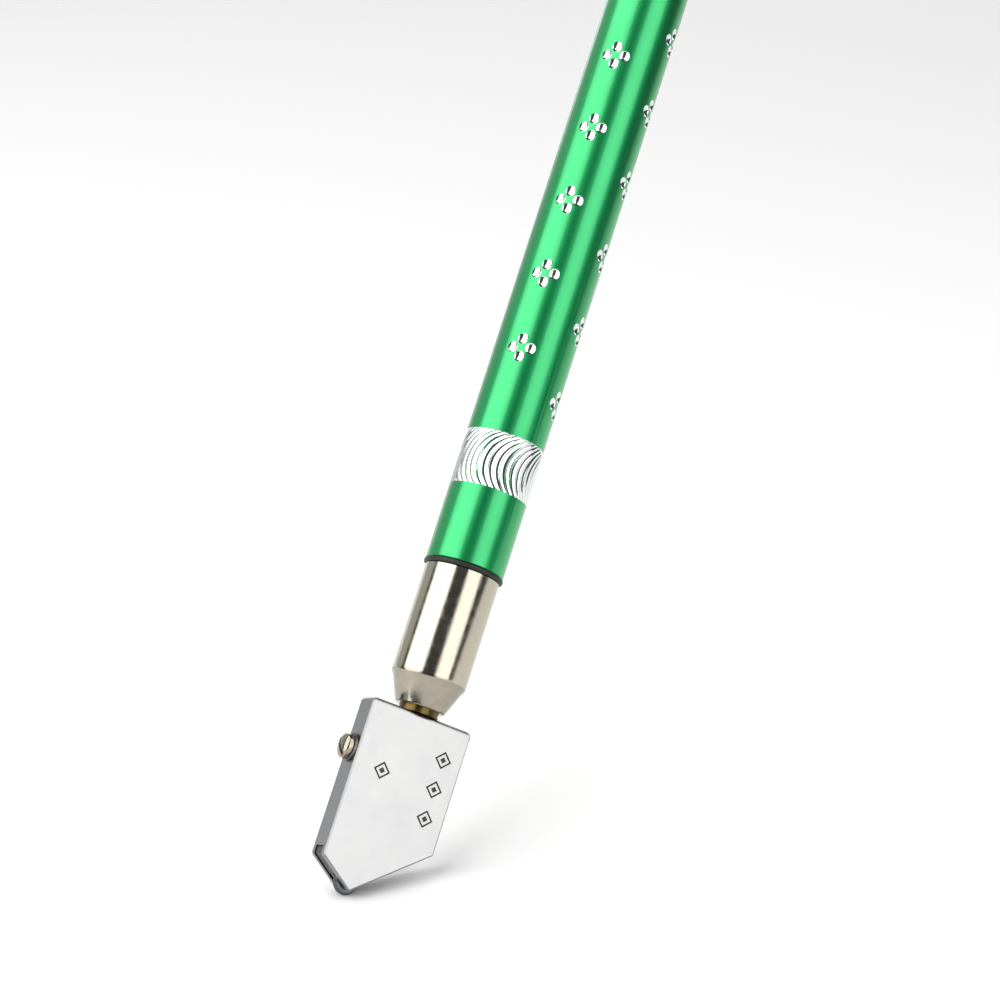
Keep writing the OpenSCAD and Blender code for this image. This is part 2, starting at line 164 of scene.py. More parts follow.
world = bpy.data.worlds.new("studio")
bpy.context.scene.world = world
world.use_nodes = True
# The dim room beyond the soft boxes, which the camera sees as pale paper.
dim_room = world.node_tree.nodes["Background"]
dim_room.inputs["Color"].default_value = linear("#C9CCD0")
dim_room.inputs["Strength"].default_value = 0.12
seen = add_node(world.node_tree, "ShaderNodeLightPath").outputs["Is Camera Ray"]
pale = add_node(world.node_tree, "ShaderNodeBackground", {"Color": linear("#FDFDFD")})
room = add_node(world.node_tree, "ShaderNodeMixShader", {0: seen, 1: dim_room.outputs[0],
                                                         2: pale.outputs[0]})
world.node_tree.links.new(room.outputs[0], world.node_tree.nodes["World Output"].inputs["Surface"])
bpy.context.scene.view_settings.view_transform = "Standard"


# --- Grip tube ---------------------------------------------------------------
# A drawn aluminium tube, dyed green and anodised, then cut bright again: a band of
# overlapping fly-cut arcs, and flowers of four ball-milled dimples down its length.
def apply_modifier(piece, name, kind, **settings):
    """Adds a modifier to a piece and applies it."""
    deselect()
    bpy.context.view_layer.objects.active = piece
    piece.select_set(True)
    modifier = piece.modifiers.new(name, kind)
    for setting, value in settings.items():
        setattr(modifier, setting, value)
    bpy.ops.object.modifier_apply(modifier=name)


def edit_all(piece):
    """Opens a piece in edit mode with all of its mesh selected."""
    deselect()
    bpy.context.view_layer.objects.active = piece
    piece.select_set(True)
    bpy.ops.object.mode_set(mode="EDIT")
    bpy.ops.mesh.select_all(action="SELECT")


def tidy_mesh(piece):
    """Merges doubled points and turns every face outwards."""
    edit_all(piece)
    bpy.ops.mesh.remove_doubles(threshold=0.0005 * MM)
    bpy.ops.mesh.normals_make_consistent(inside=False)
    bpy.ops.object.mode_set(mode="OBJECT")


def turned(name, outline, sides=128, closed=True):
    """A lathe-turned piece: a ring drawn from point to point of outline, (radius, station) in mm."""
    deselect()
    radius, station = outline[0]
    bpy.ops.mesh.primitive_circle_add(vertices=sides, radius=radius * MM, location=(0, 0, station * MM))
    piece = bpy.context.object
    piece.name = name
    bpy.ops.object.mode_set(mode="EDIT")
    bpy.ops.mesh.select_all(action="SELECT")
    for next_radius, next_station in outline[1:] + (outline[:1] if closed else []):
        bpy.ops.mesh.extrude_region_move(
            TRANSFORM_OT_translate={"value": (0, 0, (next_station - station) * MM)})
        bpy.ops.transform.resize(value=(next_radius / radius, next_radius / radius, 1),
                                 center_override=(0, 0, next_station * MM))
        radius, station = next_radius, next_station
    bpy.ops.object.mode_set(mode="OBJECT")
    bpy.ops.object.transform_apply(location=True, rotation=True, scale=True)
    tidy_mesh(piece)
    return piece


def smooth(piece, degrees=30):
    """Smooth shading, but for edges that are sharper than this."""
    deselect()
    bpy.context.view_layer.objects.active = piece
    piece.select_set(True)
    bpy.ops.object.shade_smooth_by_angle(angle=math.radians(degrees))


def fit(piece, material, body, slot, *nodes):
    """Gives a finished piece its material and body, and says which frame nodes it stands for."""
    piece.data.materials.clear()
    piece.data.materials.append(material)
    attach(piece, body)
    if nodes:
        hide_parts(*nodes)


def join(first, others):
    """Joins other pieces into the first."""
    deselect()
    for other in others:
        other.select_set(True)
    first.select_set(True)
    bpy.context.view_layer.objects.active = first
    bpy.ops.object.join()
    return first


tube_low, tube_high = mm_box("handle_tube")
tube_r = tube_high.x
tube_wall = 0.8
tube_bore_r = tube_r - tube_wall
rim_chamfer = 0.15
band_low = -tube_low.z                          # the origin is half-way from the rim to the band
band_length = 8.6
band_high = band_low + band_length
band_rings = 56
band_edge = 0.02                                # sharp step at each end of the band
arc_count = 42                                  # arcs cut around the tube, about 0.9 mm apart
arc_points = 11
arc_radius = 5.5                                # sweep of the fly cutter
arc_drop = 0.6                                  # the fly cutter's centre, below the band's middle
arc_middle = (band_low + band_high) / 2 - arc_drop
arc_depth = 0.1
arc_ridge = 0.12                                # share of the depth left uncut between two arcs
band_stations = [band_low + band_edge + (band_length - 2 * band_edge) * i / band_rings
                 for i in range(band_rings + 1)]
tube = turned(
    "grip_tube",
    [(tube_bore_r, tube_low.z), (tube_r - rim_chamfer, tube_low.z), (tube_r, tube_low.z + rim_chamfer),
     (tube_r, band_low)] + [(tube_r, z) for z in band_stations] +
    [(tube_r, band_high), (tube_r, tube_high.z - rim_chamfer), (tube_r - rim_chamfer, tube_high.z),
     (tube_bore_r, tube_high.z)],
    sides=arc_count * arc_points)


def arc_lag(station):
    """How far, in mm around the tube, an arc runs ahead of its lower end at a station."""
    station = min(max(station, band_low), band_high)
    return (math.sqrt(arc_radius ** 2 - (station - arc_middle) ** 2)
            - math.sqrt(arc_radius ** 2 - (band_low - arc_middle) ** 2))


for vertex in tube.data.vertices:
    x, y, z = vertex.co / MM
    radius = math.hypot(x, y)
    if radius > tube_bore_r + 0.1:
        angle = math.atan2(y, x)
        phase = (angle / math.tau * arc_count) % 1
        if band_low + band_edge / 2 < z < band_high - band_edge / 2:
            radius -= max(0.0, arc_depth * ((1 + arc_ridge) * (1 - (2 * phase - 1) ** 2) - arc_ridge))
        angle -= arc_lag(z) / tube_r
        vertex.co = Vector((radius * math.cos(angle), radius * math.sin(angle), z)) * MM

flower_pitch = 12.1
flower_first = band_high + 7.2
flower_angle = 138                              # of the first column, about the handle
flower_columns = 4
flower_margin = 5                               # plain tube left at the tail
petals = 4
petal_offset = 1.4                              # from a flower's middle to each dimple's
petal_turn = 5
dimple_r = 0.875
dimple_depth = 0.3
ball_r = (dimple_r ** 2 + dimple_depth ** 2) / (2 * dimple_depth)
deselect()
bpy.ops.mesh.primitive_uv_sphere_add(segments=28, ring_count=30, radius=ball_r * MM)
cutter = bpy.context.object
flowers = []
for column in range(flower_columns):
    station = flower_first + (column % 2) * flower_pitch / 2
    while station <= tube_high.z - flower_margin:
        flowers.append((math.radians(flower_angle + 360 / flower_columns * column), station))
        station += flower_pitch
for petal in range(petals):
    turn = math.radians(petal_turn + 360 / petals * petal)
    balls = []
    for angle, station in flowers:
        angle += petal_offset * math.cos(turn) / tube_r
        out = Vector((math.cos(angle), math.sin(angle), 0))
        ball = cutter.copy()
        ball.data = cutter.data.copy()
        bpy.context.scene.collection.objects.link(ball)
        centre = out * (tube_r - dimple_depth + ball_r)
        centre.z = station + petal_offset * math.sin(turn)
        ball.matrix_world = (Matrix.Translation(centre * MM)
                             @ out.to_track_quat("Z", "Y").to_matrix().to_4x4())
        balls.append(ball)
    balls = join(balls[0], balls[1:])
    apply_modifier(tube, "dimples", "BOOLEAN", operation="DIFFERENCE", solver="EXACT", object=balls)
    bpy.data.objects.remove(balls)
bpy.data.objects.remove(cutter)
smooth(tube, 24)

# Anodised aluminium, drawn and dyed: metallic and deep green, with faint lengthwise draw
# lines. Where a cutter has gone through the dyed skin, bare bright aluminium shows.
anodised, tree, shader = new_material("green_anodised_aluminium")
place = add_node(tree, "ShaderNodeTexCoord").outputs["Object"]
apart = add_node(tree, "ShaderNodeSeparateXYZ", {0: place})
flat = add_node(tree, "ShaderNodeCombineXYZ", {"X": apart.outputs["X"], "Y": apart.outputs["Y"]})
reach = add_node(tree, "ShaderNodeVectorMath", {0: flat.outputs[0]}, operation="LENGTH")
skin_depth = 0.008                              # the dyed skin, drawn thicker than real to be seen
cut = add_node(tree, "ShaderNodeMath", {0: reach.outputs["Value"], 1: (tube_r - skin_depth) * MM},
               operation="LESS_THAN")
behind_rim = add_node(tree, "ShaderNodeMath", {0: apart.outputs["Z"], 1: (tube_low.z + 1) * MM},
                      operation="GREATER_THAN")
before_tail = add_node(tree, "ShaderNodeMath", {0: apart.outputs["Z"], 1: (tube_high.z - 1) * MM},
                       operation="LESS_THAN")
bare = add_node(tree, "ShaderNodeMath", {0: cut.outputs[0], 1: behind_rim.outputs[0]}, operation="MULTIPLY")
bare = add_node(tree, "ShaderNodeMath", {0: bare.outputs[0], 1: before_tail.outputs[0]},
                operation="MULTIPLY")
drawn = add_node(tree, "ShaderNodeMapping", {"Vector": place, "Scale": (1, 1, 0.02)})
draw_lines = add_node(tree, "ShaderNodeTexNoise", {"Vector": drawn.outputs[0], "Scale": 9000, "Detail": 3})
dye = add_node(tree, "ShaderNodeTexNoise", {"Vector": place, "Scale": 180, "Detail": 4})
dye_tone = add_node(tree, "ShaderNodeMix", {"Factor": dye.outputs["Fac"], 6: linear("#1FA35B"),
                                            7: linear("#27AF66")},
                    data_type="RGBA")
tone = add_node(tree, "ShaderNodeMix", {"Factor": bare.outputs[0], 6: dye_tone.outputs[2],
                                        7: linear("#E9EBEC")},
                data_type="RGBA")
rough_low = add_node(tree, "ShaderNodeMapRange", {"Value": draw_lines.outputs["Fac"], "To Min": 0.3,
                                                  "To Max": 0.4})
rough = add_node(tree, "ShaderNodeMix", {"Factor": bare.outputs[0], 2: rough_low.outputs[0], 3: 0.09})
bump = add_node(tree, "ShaderNodeBump", {"Strength": 0.06, "Distance": 0.01 * MM,
                                         "Height": draw_lines.outputs["Fac"]})
shader.inputs["Metallic"].default_value = 1.0
shader.inputs["Coat Weight"].default_value = 0.5
shader.inputs["Coat IOR"].default_value = 1.7
shader.inputs["Coat Roughness"].default_value = 0.16
tree.links.new(tone.outputs[2], shader.inputs["Base Color"])
tree.links.new(rough.outputs[0], shader.inputs["Roughness"])
tree.links.new(bump.outputs[0], shader.inputs["Normal"])
fit(tube, anodised, "handle", "green_anodised", "handle_tube")


# --- Seal ring ---------------------------------------------------------------
# A thin black rubber ring, moulded with rounded edges and squeezed between the tube's
# front rim and the shoulder of the ferrule, so that it stands a little proud.
ring_low, ring_high = mm_box("seal_ring")
ring = turned("seal_ring_moulded", [(tube_bore_r + 0.02, ring_low.z), (ring_high.y, ring_low.z),
                                    (ring_high.y, ring_high.z), (tube_bore_r + 0.02, ring_high.z)])
apply_modifier(ring, "round", "BEVEL", width=0.25 * MM, segments=4, limit_method="ANGLE")
smooth(ring)

# Nitrile rubber, moulded: near black with a soft, slightly uneven sheen.
nitrile, tree, shader = new_material("black_nitrile_rubber")
place = add_node(tree, "ShaderNodeTexCoord").outputs["Object"]
grain = add_node(tree, "ShaderNodeTexNoise", {"Vector": place, "Scale": 6000, "Detail": 2})
rough = add_node(tree, "ShaderNodeMapRange", {"Value": grain.outputs["Fac"], "To Min": 0.4, "To Max": 0.6})
bump = add_node(tree, "ShaderNodeBump", {"Strength": 0.2, "Distance": 0.02 * MM,
                                         "Height": grain.outputs["Fac"]})
shader.inputs["Base Color"].default_value = linear("#0D110E")
tree.links.new(rough.outputs[0], shader.inputs["Roughness"])
tree.links.new(bump.outputs[0], shader.inputs["Normal"])
fit(ring, nitrile, "handle", "black_rubber", "seal_ring")


# --- Ferrule -----------------------------------------------------------------
# The brass nose, turned to a straight barrel and a taper, polished and nickel plated.
# Its spigot is pressed into the tube; the stem slides in its bore.
ferrule_low, ferrule_high = mm_box("ferrule")
ferrule_r = ferrule_high.x
edge_break = 0.15
nose_r, nose_length = 3.8, 4.25
nose_top = ferrule_low.z + nose_length
guide_r = 3.04                                  # bore that the stem slides in
guide_top = ferrule_low.z + 9
chamber_r = 4.1                                 # wider bore behind it, for the spring
press_fit = 0.01
spigot_face_r = tube_bore_r - press_fit
ferrule = turned("nickel_ferrule", [
    (guide_r, ferrule_low.z), (nose_r - 0.2, ferrule_low.z), (nose_r, ferrule_low.z + edge_break),
    (ferrule_r - 0.42, nose_top - 0.5), (ferrule_r - 0.13, nose_top - 0.1), (ferrule_r - 0.03,
                                                                             nose_top + 0.2),
    (ferrule_r, nose_top + 0.5), (ferrule_r, ring_low.z - edge_break),
    (ferrule_r - edge_break, ring_low.z), (spigot_face_r, ring_low.z), (spigot_face_r, ferrule_high.z),
    (chamber_r, ferrule_high.z), (chamber_r, guide_top), (guide_r, guide_top)], sides=192)
smooth(ferrule, 20)

# Nickel plate over polished brass: a warm mirror with a haze of fine wiping scratches.
nickel, tree, shader = new_material("polished_nickel_plate")
place = add_node(tree, "ShaderNodeTexCoord").outputs["Object"]
wiped = add_node(tree, "ShaderNodeMapping", {"Vector": place, "Rotation": (0.3, 0.2, 0),
                                             "Scale": (1, 1, 0.12)})
scratches = add_node(tree, "ShaderNodeTexNoise", {"Vector": wiped.outputs[0], "Scale": 4200, "Detail": 5,
                                                  "Roughness": 0.7})
haze = add_node(tree, "ShaderNodeTexNoise", {"Vector": place, "Scale": 900, "Detail": 6})
rough = add_node(tree, "ShaderNodeMapRange", {"Value": haze.outputs["Fac"], "From Min": 0.35,
                                              "From Max": 0.7,
                                             "To Min": 0.1, "To Max": 0.22})
bump = add_node(tree, "ShaderNodeBump", {"Strength": 0.5, "Distance": 0.016 * MM,
                                         "Height": scratches.outputs["Fac"]})
# The nose and taper are painted a darker, mottled grey: a painted dim reflection.
height = add_node(tree, "ShaderNodeSeparateXYZ", {0: place}).outputs["Z"]
on_nose = add_node(tree, "ShaderNodeMath", {0: height, 1: (nose_top + 0.3) * MM}, operation="LESS_THAN")
nose_painted_dim_reflection = add_node(tree, "ShaderNodeMix", {"Factor": haze.outputs["Fac"], 6: linear("#8F897C"),
                                        7: linear("#B2AB9C")},
                data_type="RGBA")
tone = add_node(tree, "ShaderNodeMix", {"Factor": on_nose.outputs[0], 6: linear("#BDB6A6"),
                                        7: nose_painted_dim_reflection.outputs[2]},
                data_type="RGBA")
tree.links.new(tone.outputs[2], shader.inputs["Base Color"])
shader.inputs["Metallic"].default_value = 1.0
tree.links.new(rough.outputs[0], shader.inputs["Roughness"])
tree.links.new(bump.outputs[0], shader.inputs["Normal"])
fit(ferrule, nickel, "handle", "nickel_plate", "ferrule")


# --- Swivel head -------------------------------------------------------------
# A wide steel block, sawn to five sides with its tip off centre, ground flat on both
# faces with fine chamfers, slotted for the wheel and drilled for the pivot and screw.
head_low, head_high = mm_box("head_block")
wheel_low, wheel_high = mm_box("cutting_wheel")
tip_x = (wheel_low.x + wheel_high.x) / 2
left_side, right_side = 24.0, 18.9             # heights of the head's two sides
left_corner = head_high.z - left_side
right_corner = head_high.z - right_side
thickness = head_high.y - head_low.y
corner_round, face_chamfer = 0.6, 0.2
pivot_bore_r, pivot_bore_depth = 1.83, 12.3
screw_bore_r = 1.25
same_place = 1e-6                               # metres within which two points count as level
slot_side_play, slot_end_play = 0.03, 0.02      # clearance of the yoke in its slot


def block(name, low, high):
    """A square block between two corners, in mm."""
    deselect()
    low, high = Vector(low), Vector(high)
    bpy.ops.mesh.primitive_cube_add(size=1, location=(low + high) / 2 * MM, scale=(high - low) * MM)
    piece = bpy.context.object
    piece.name = name
    bpy.ops.object.transform_apply(location=True, rotation=True, scale=True)
    return piece


def saw(piece, point, normal):
    """Saws a piece through a point, in mm, and throws away what lies along the normal."""
    edit_all(piece)
    bpy.ops.mesh.bisect(plane_co=Vector(point) * MM, plane_no=normal, use_fill=True, clear_outer=True)
    bpy.ops.object.mode_set(mode="OBJECT")


def drilled(piece, tool):
    """Takes a tool's shape out of a piece, and puts the tool away."""
    apply_modifier(piece, "cut", "BOOLEAN", operation="DIFFERENCE", solver="EXACT", object=tool)
    bpy.data.objects.remove(tool)


def drill(radius, start, end, sides=48):
    """A drill's round shape from one point to another, in mm."""
    deselect()
    start, end = Vector(start) * MM, Vector(end) * MM
    axis = end - start
    bpy.ops.mesh.primitive_cylinder_add(vertices=sides, radius=radius * MM, depth=axis.length)
    tool = bpy.context.object
    tool.matrix_world = (Matrix.Translation((start + end) / 2)
                         @ axis.to_track_quat("Z", "Y").to_matrix().to_4x4())
    bpy.ops.object.transform_apply(location=True, rotation=True, scale=True)
    return tool


def bevel_normal(x0, z0, x1, z1):
    """The outward normal of the head's edge that runs from one corner to the next."""
    return Vector((z1 - z0, 0, -(x1 - x0))).normalized()


left_normal = bevel_normal(head_low.x, left_corner, tip_x, head_low.z)
right_normal = bevel_normal(tip_x, head_low.z, head_high.x, right_corner)
left_normal, right_normal = (n if n.z < 0 else -n for n in (left_normal, right_normal))
head = block("head_steel_block", head_low, head_high)
saw(head, (tip_x, 0, head_low.z), left_normal)
saw(head, (tip_x, 0, head_low.z), right_normal)
edit_all(head)
bpy.ops.mesh.select_all(action="DESELECT")
bpy.ops.object.mode_set(mode="OBJECT")
for edge in head.data.edges:
    a, b = (head.data.vertices[i].co for i in edge.vertices)
    edge.select = (abs(a.z - head_high.z * MM) < same_place and abs(b.z - head_high.z * MM) < same_place
                   and abs(a.x - b.x) < same_place)
bpy.ops.object.mode_set(mode="EDIT")
bpy.ops.mesh.bevel(offset=corner_round * MM, segments=6, affect="EDGES")
bpy.ops.object.mode_set(mode="OBJECT")
apply_modifier(head, "ground_edges", "BEVEL", width=face_chamfer * MM, segments=1, limit_method="ANGLE",
               angle_limit=math.radians(25))
slot_half = (mm_box("wheel_yoke")[1].y - mm_box("wheel_yoke")[0].y) / 2 + slot_side_play
slot_top = mm_box("wheel_yoke")[1].z + slot_end_play
drilled(head, block("slot", (head_low.x - 1, -slot_half, head_low.z - 1),
                    (head_high.x + 1, slot_half, slot_top)))
drilled(head, drill(pivot_bore_r, (0, 0, head_high.z + 1), (0, 0, head_high.z - pivot_bore_depth)))
pin_low, pin_high = mm_box("yoke_pin")
pin_r = (pin_high.x - pin_low.x) / 2
pin_z = (pin_low.z + pin_high.z) / 2
drilled(head, drill(pin_r, (tip_x, pin_low.y, pin_z), (tip_x, head_high.y + 1, pin_z)))
screw_low, screw_high = mm_box("side_screw")
screw_z = (screw_low.z + screw_high.z) / 2
drilled(head, drill(screw_bore_r, (head_low.x - 1, 0, screw_z), (0, 0, screw_z)))

# Small square lozenges sunk in the front face for decoration: one on the left of the
# stem and three, evenly spaced, on the right.
lozenge_places = ((-3.6, -38.5), (5.1, -34.0), (5.1, -38.5), (5.1, -43.0))
groove_out_r, groove_in_r, dot_r = 1.35, 0.98, 0.5
lozenge_depth = 0.12


def lozenge(radius, x, station):
    """A square punch, standing on its corner, set into the head's front face."""
    deselect()
    bpy.ops.mesh.primitive_cylinder_add(
        vertices=4, radius=radius * MM, depth=2 * lozenge_depth * MM,
        location=Vector((x, head_low.y, station)) * MM, rotation=(math.radians(90), 0, 0))
    punch = bpy.context.object
    bpy.ops.object.transform_apply(location=True, rotation=True, scale=True)
    return punch


punches = []
for x, station in lozenge_places:
    groove = lozenge(groove_out_r, x, station)
    drilled(groove, lozenge(groove_in_r, x, station))
    punches += [groove, lozenge(dot_r, x, station)]
ornament = join(punches[0], punches[1:])
drilled(head, ornament)
smooth(head, 18)

# The lozenges' sunk floors are painted dark: painted shade in the recesses.
sunk_depth = 0.03                               # deeper than this, the lozenges are dark
# Tool steel, surface ground: satin, with fine straight grinding lines along the head and
# a few deeper strokes. The chamfers are painted a darker grey: a painted dark reflection.
ground_steel, tree, shader = new_material("surface_ground_steel")
place = add_node(tree, "ShaderNodeTexCoord").outputs["Object"]
along = add_node(tree, "ShaderNodeMapping", {"Vector": place, "Scale": (1, 1, 0.03)})
lines = add_node(tree, "ShaderNodeTexNoise", {"Vector": along.outputs[0], "Scale": 7000, "Detail": 4})
cloud = add_node(tree, "ShaderNodeTexNoise", {"Vector": place, "Scale": 220, "Detail": 3})
ground_tone = add_node(tree, "ShaderNodeMix", {"Factor": cloud.outputs["Fac"], 6: linear("#AEAFB0"),
                                               7: linear("#BEBDBB")},
                       data_type="RGBA")
facing = add_node(tree, "ShaderNodeSeparateXYZ", {0: add_node(tree, "ShaderNodeTexCoord").outputs["Normal"]})
squarely = add_node(tree, "ShaderNodeMath", {0: facing.outputs["Y"]}, operation="ABSOLUTE")
sawn = add_node(tree, "ShaderNodeMath", {0: squarely.outputs[0], 1: 0.3}, operation="LESS_THAN")
# Faces sloping between the flat faces and the sides, the chamfers, get the painted dark reflection.
sloping = add_node(tree, "ShaderNodeMath", {0: squarely.outputs[0], 1: 0.9}, operation="LESS_THAN")
chamfer_painted_reflection = add_node(tree, "ShaderNodeMix", {"Factor": sloping.outputs[0], 6: ground_tone.outputs[2],
                                             7: linear("#8E8E90")},
                     data_type="RGBA")
outer_tone = add_node(tree, "ShaderNodeMix", {"Factor": sawn.outputs[0], 6: chamfer_painted_reflection.outputs[2],
                                              7: linear("#808184")},
                      data_type="RGBA")
aside = add_node(tree, "ShaderNodeMath", {0: add_node(tree, "ShaderNodeSeparateXYZ",
                                                      {0: place}).outputs["Y"]},
                 operation="ABSOLUTE")
# Mask of the sunk lozenge floors, which get the painted shade.
below_face = add_node(tree, "ShaderNodeMath", {0: aside.outputs[0], 1: (thickness / 2 - sunk_depth) * MM},
                      operation="LESS_THAN")
level_floor = add_node(tree, "ShaderNodeMath", {0: squarely.outputs[0], 1: 0.95}, operation="GREATER_THAN")
sunk = add_node(tree, "ShaderNodeMath", {0: below_face.outputs[0], 1: level_floor.outputs[0]},
                operation="MULTIPLY")
tone = add_node(tree, "ShaderNodeMix", {"Factor": sunk.outputs[0], 6: outer_tone.outputs[2],
                                        7: linear("#3E3C3A")},
                data_type="RGBA")
rough = add_node(tree, "ShaderNodeMapRange", {"Value": lines.outputs["Fac"], "To Min": 0.26, "To Max": 0.42})
bump = add_node(tree, "ShaderNodeBump", {"Strength": 0.5, "Distance": 0.015 * MM,
                                         "Height": lines.outputs["Fac"]})
shader.inputs["Metallic"].default_value = 1.0
tree.links.new(tone.outputs[2], shader.inputs["Base Color"])
tree.links.new(rough.outputs[0], shader.inputs["Roughness"])
tree.links.new(bump.outputs[0], shader.inputs["Normal"])
fit(head, ground_steel, "head", "satin_steel", "head_block")


# --- Side screw and its lock washer -------------------------------------------
# A slotted, nickel-plated screw with a domed head holds the head block on the stem. A
# split spring washer sits under it.
lock_low, lock_high = mm_box("lock_washer")
head_left = head_low.x
lock_t = lock_high.x - lock_low.x
screw_r = (screw_high.y - screw_low.y) / 2
screw_rise = head_left - lock_t - screw_low.x  # from under the screw's head to its crown
flat_rise = screw_rise * 0.4                   # height of the head's straight side
shank_r, shank_length = 1.2, 3
driver_half, driver_depth, driver_turn = 0.3, 0.7, 35
dome = [(screw_r * math.cos(a), flat_rise + (screw_rise - flat_rise) * math.sin(a))
        for a in (math.radians(9 * i) for i in range(10))]
screw = turned("domed_screw", [(shank_r, -shank_length), (shank_r, 0), (screw_r - 0.12, 0), (screw_r, 0.1)] +
               [(max(r, 0.02), h) for r, h in dome], sides=64, closed=False)
edit_all(screw)
bpy.ops.mesh.select_all(action="DESELECT")
bpy.ops.mesh.select_non_manifold()
bpy.ops.mesh.fill_holes(sides=0)
bpy.ops.object.mode_set(mode="OBJECT")
tidy_mesh(screw)
drilled(screw, block("driver_slot", (-3, -driver_half, screw_rise - driver_depth),
                     (3, driver_half, screw_rise + 1)))
apply_modifier(screw, "worn_edges", "BEVEL", width=0.06 * MM, segments=2, limit_method="ANGLE",
               angle_limit=math.radians(40))
onto_side = Matrix.Translation(Vector((head_left - lock_t, 0, screw_z)) * MM) @ Matrix.Rotation(
    math.radians(-90), 4, "Y")
screw.data.transform(onto_side @ Matrix.Rotation(math.radians(driver_turn), 4, "Z"))
smooth(screw)
fit(screw, nickel, "head", "nickel_plate", "side_screw")

washer_in, washer_out = 1.35, (lock_high.y - lock_low.y) / 2
washer_wire = 0.44
washer_sweep, split_turn = 344, 70              # degrees of ring, and where its split stands
washer_set = 0.05                               # how far the split's ends stand apart
deselect()
bpy.ops.mesh.primitive_plane_add(
    size=1, location=((washer_in + washer_out) / 2 * MM, 0, washer_wire / 2 * MM),
    rotation=(math.radians(90), 0, 0))
washer = bpy.context.object
washer.name = "split_washer"
washer.scale = ((washer_out - washer_in) * MM, washer_wire * MM, 1)
bpy.ops.object.transform_apply(location=True, rotation=True, scale=True)
apply_modifier(washer, "coil", "SCREW", angle=math.radians(washer_sweep), screw_offset=washer_set * MM,
               steps=72,
               render_steps=72, axis="Z")
edit_all(washer)
bpy.ops.mesh.select_all(action="DESELECT")
bpy.ops.mesh.select_non_manifold()
bpy.ops.mesh.fill_holes(sides=4)
bpy.ops.object.mode_set(mode="OBJECT")
tidy_mesh(washer)
apply_modifier(washer, "edges", "BEVEL", width=0.07 * MM, segments=2, limit_method="ANGLE")
washer.data.transform(Matrix.Translation(Vector((head_left, 0, screw_z)) * MM) @ Matrix.Rotation(
    math.radians(-90), 4, "Y") @ Matrix.Rotation(math.radians(split_turn), 4, "Z"))
smooth(washer)

# Spring steel, tempered and oiled: olive brown-grey with a dull gloss.
spring_steel, tree, shader = new_material("oiled_spring_steel")
place = add_node(tree, "ShaderNodeTexCoord").outputs["Object"]
stain = add_node(tree, "ShaderNodeTexNoise", {"Vector": place, "Scale": 1500, "Detail": 4})
tone = add_node(tree, "ShaderNodeMix", {"Factor": stain.outputs["Fac"], 6: linear("#55534A"),
                                        7: linear("#8A887C")},
                data_type="RGBA")
rough = add_node(tree, "ShaderNodeMapRange", {"Value": stain.outputs["Fac"], "To Min": 0.25, "To Max": 0.5})
shader.inputs["Metallic"].default_value = 1.0
tree.links.new(tone.outputs[2], shader.inputs["Base Color"])
tree.links.new(rough.outputs[0], shader.inputs["Roughness"])
fit(washer, spring_steel, "head", "spring_steel", "lock_washer")


# --- Cutting wheel -----------------------------------------------------------
# A sintered tungsten carbide wheel, ground from both faces to one edge.
wheel_r = (wheel_high.x - wheel_low.x) / 2
wheel_z = (wheel_low.z + wheel_high.z) / 2
wheel_half = (wheel_high.y - wheel_low.y) / 2
edge_slope = 67                                 # half the edge's angle, in degrees
edge_rise = wheel_half / math.tan(math.radians(edge_slope))
face_r = wheel_r * 0.72
rim_relief = 0.04
axle_r = 0.42
wheel = turned("carbide_wheel", [
    (axle_r, -wheel_half), (face_r, -wheel_half), (wheel_r - edge_rise, -wheel_half + rim_relief),
    (wheel_r, 0), (wheel_r - edge_rise, wheel_half - rim_relief), (face_r, wheel_half),
    (axle_r, wheel_half)], sides=96)
wheel.data.transform(Matrix.Translation(Vector((tip_x, 0, wheel_z)) * MM) @ Matrix.Rotation(
    math.radians(90), 4, "X"))
smooth(wheel, 15)

# Tungsten carbide, diamond ground: a dense grey with a keen satin shine, its colour painted darker than the
# metal: painted shade for the shadow under the head.
carbide, tree, shader = new_material("ground_tungsten_carbide")
place = add_node(tree, "ShaderNodeTexCoord").outputs["Object"]
grit = add_node(tree, "ShaderNodeTexNoise", {"Vector": place, "Scale": 9000, "Detail": 3})
rough = add_node(tree, "ShaderNodeMapRange", {"Value": grit.outputs["Fac"], "To Min": 0.2, "To Max": 0.36})
# Darker than carbide really is: painted shade under the head.
shader.inputs["Base Color"].default_value = linear("#5A5B5F")
shader.inputs["Metallic"].default_value = 1.0
tree.links.new(rough.outputs[0], shader.inputs["Roughness"])
fit(wheel, carbide, "wheel", "carbide", "cutting_wheel")


# --- Wheel yoke and felt -----------------------------------------------------
# The yoke is folded from sheet steel and holds the wheel's axle. Two strips of felt fill
# the slot beside it, dark and shiny in places with cutting oil.
yoke_low, yoke_high = mm_box("wheel_yoke")
sheet = 0.45
cheek_lift = 0.4                                # the cheeks stop this far inside the head's outline
axle_hole_r = 0.4
yoke = block("folded_yoke", yoke_low, yoke_high)
saw(yoke, (tip_x, 0, head_low.z + cheek_lift), left_normal)
saw(yoke, (tip_x, 0, head_low.z + cheek_lift), right_normal)
drilled(yoke, block("gap", (yoke_low.x - 1, yoke_low.y + sheet, yoke_low.z - 1),
                    (yoke_high.x + 1, yoke_high.y - sheet, yoke_high.z - sheet)))
drilled(yoke, drill(pin_r, (tip_x, yoke_low.y - 1, pin_z), (tip_x, yoke_high.y + 1, pin_z)))
drilled(yoke, drill(axle_hole_r, (tip_x, yoke_low.y - 1, wheel_z), (tip_x, yoke_high.y + 1, wheel_z)))
apply_modifier(yoke, "folds", "BEVEL", width=0.1 * MM, segments=3, limit_method="ANGLE")
smooth(yoke)

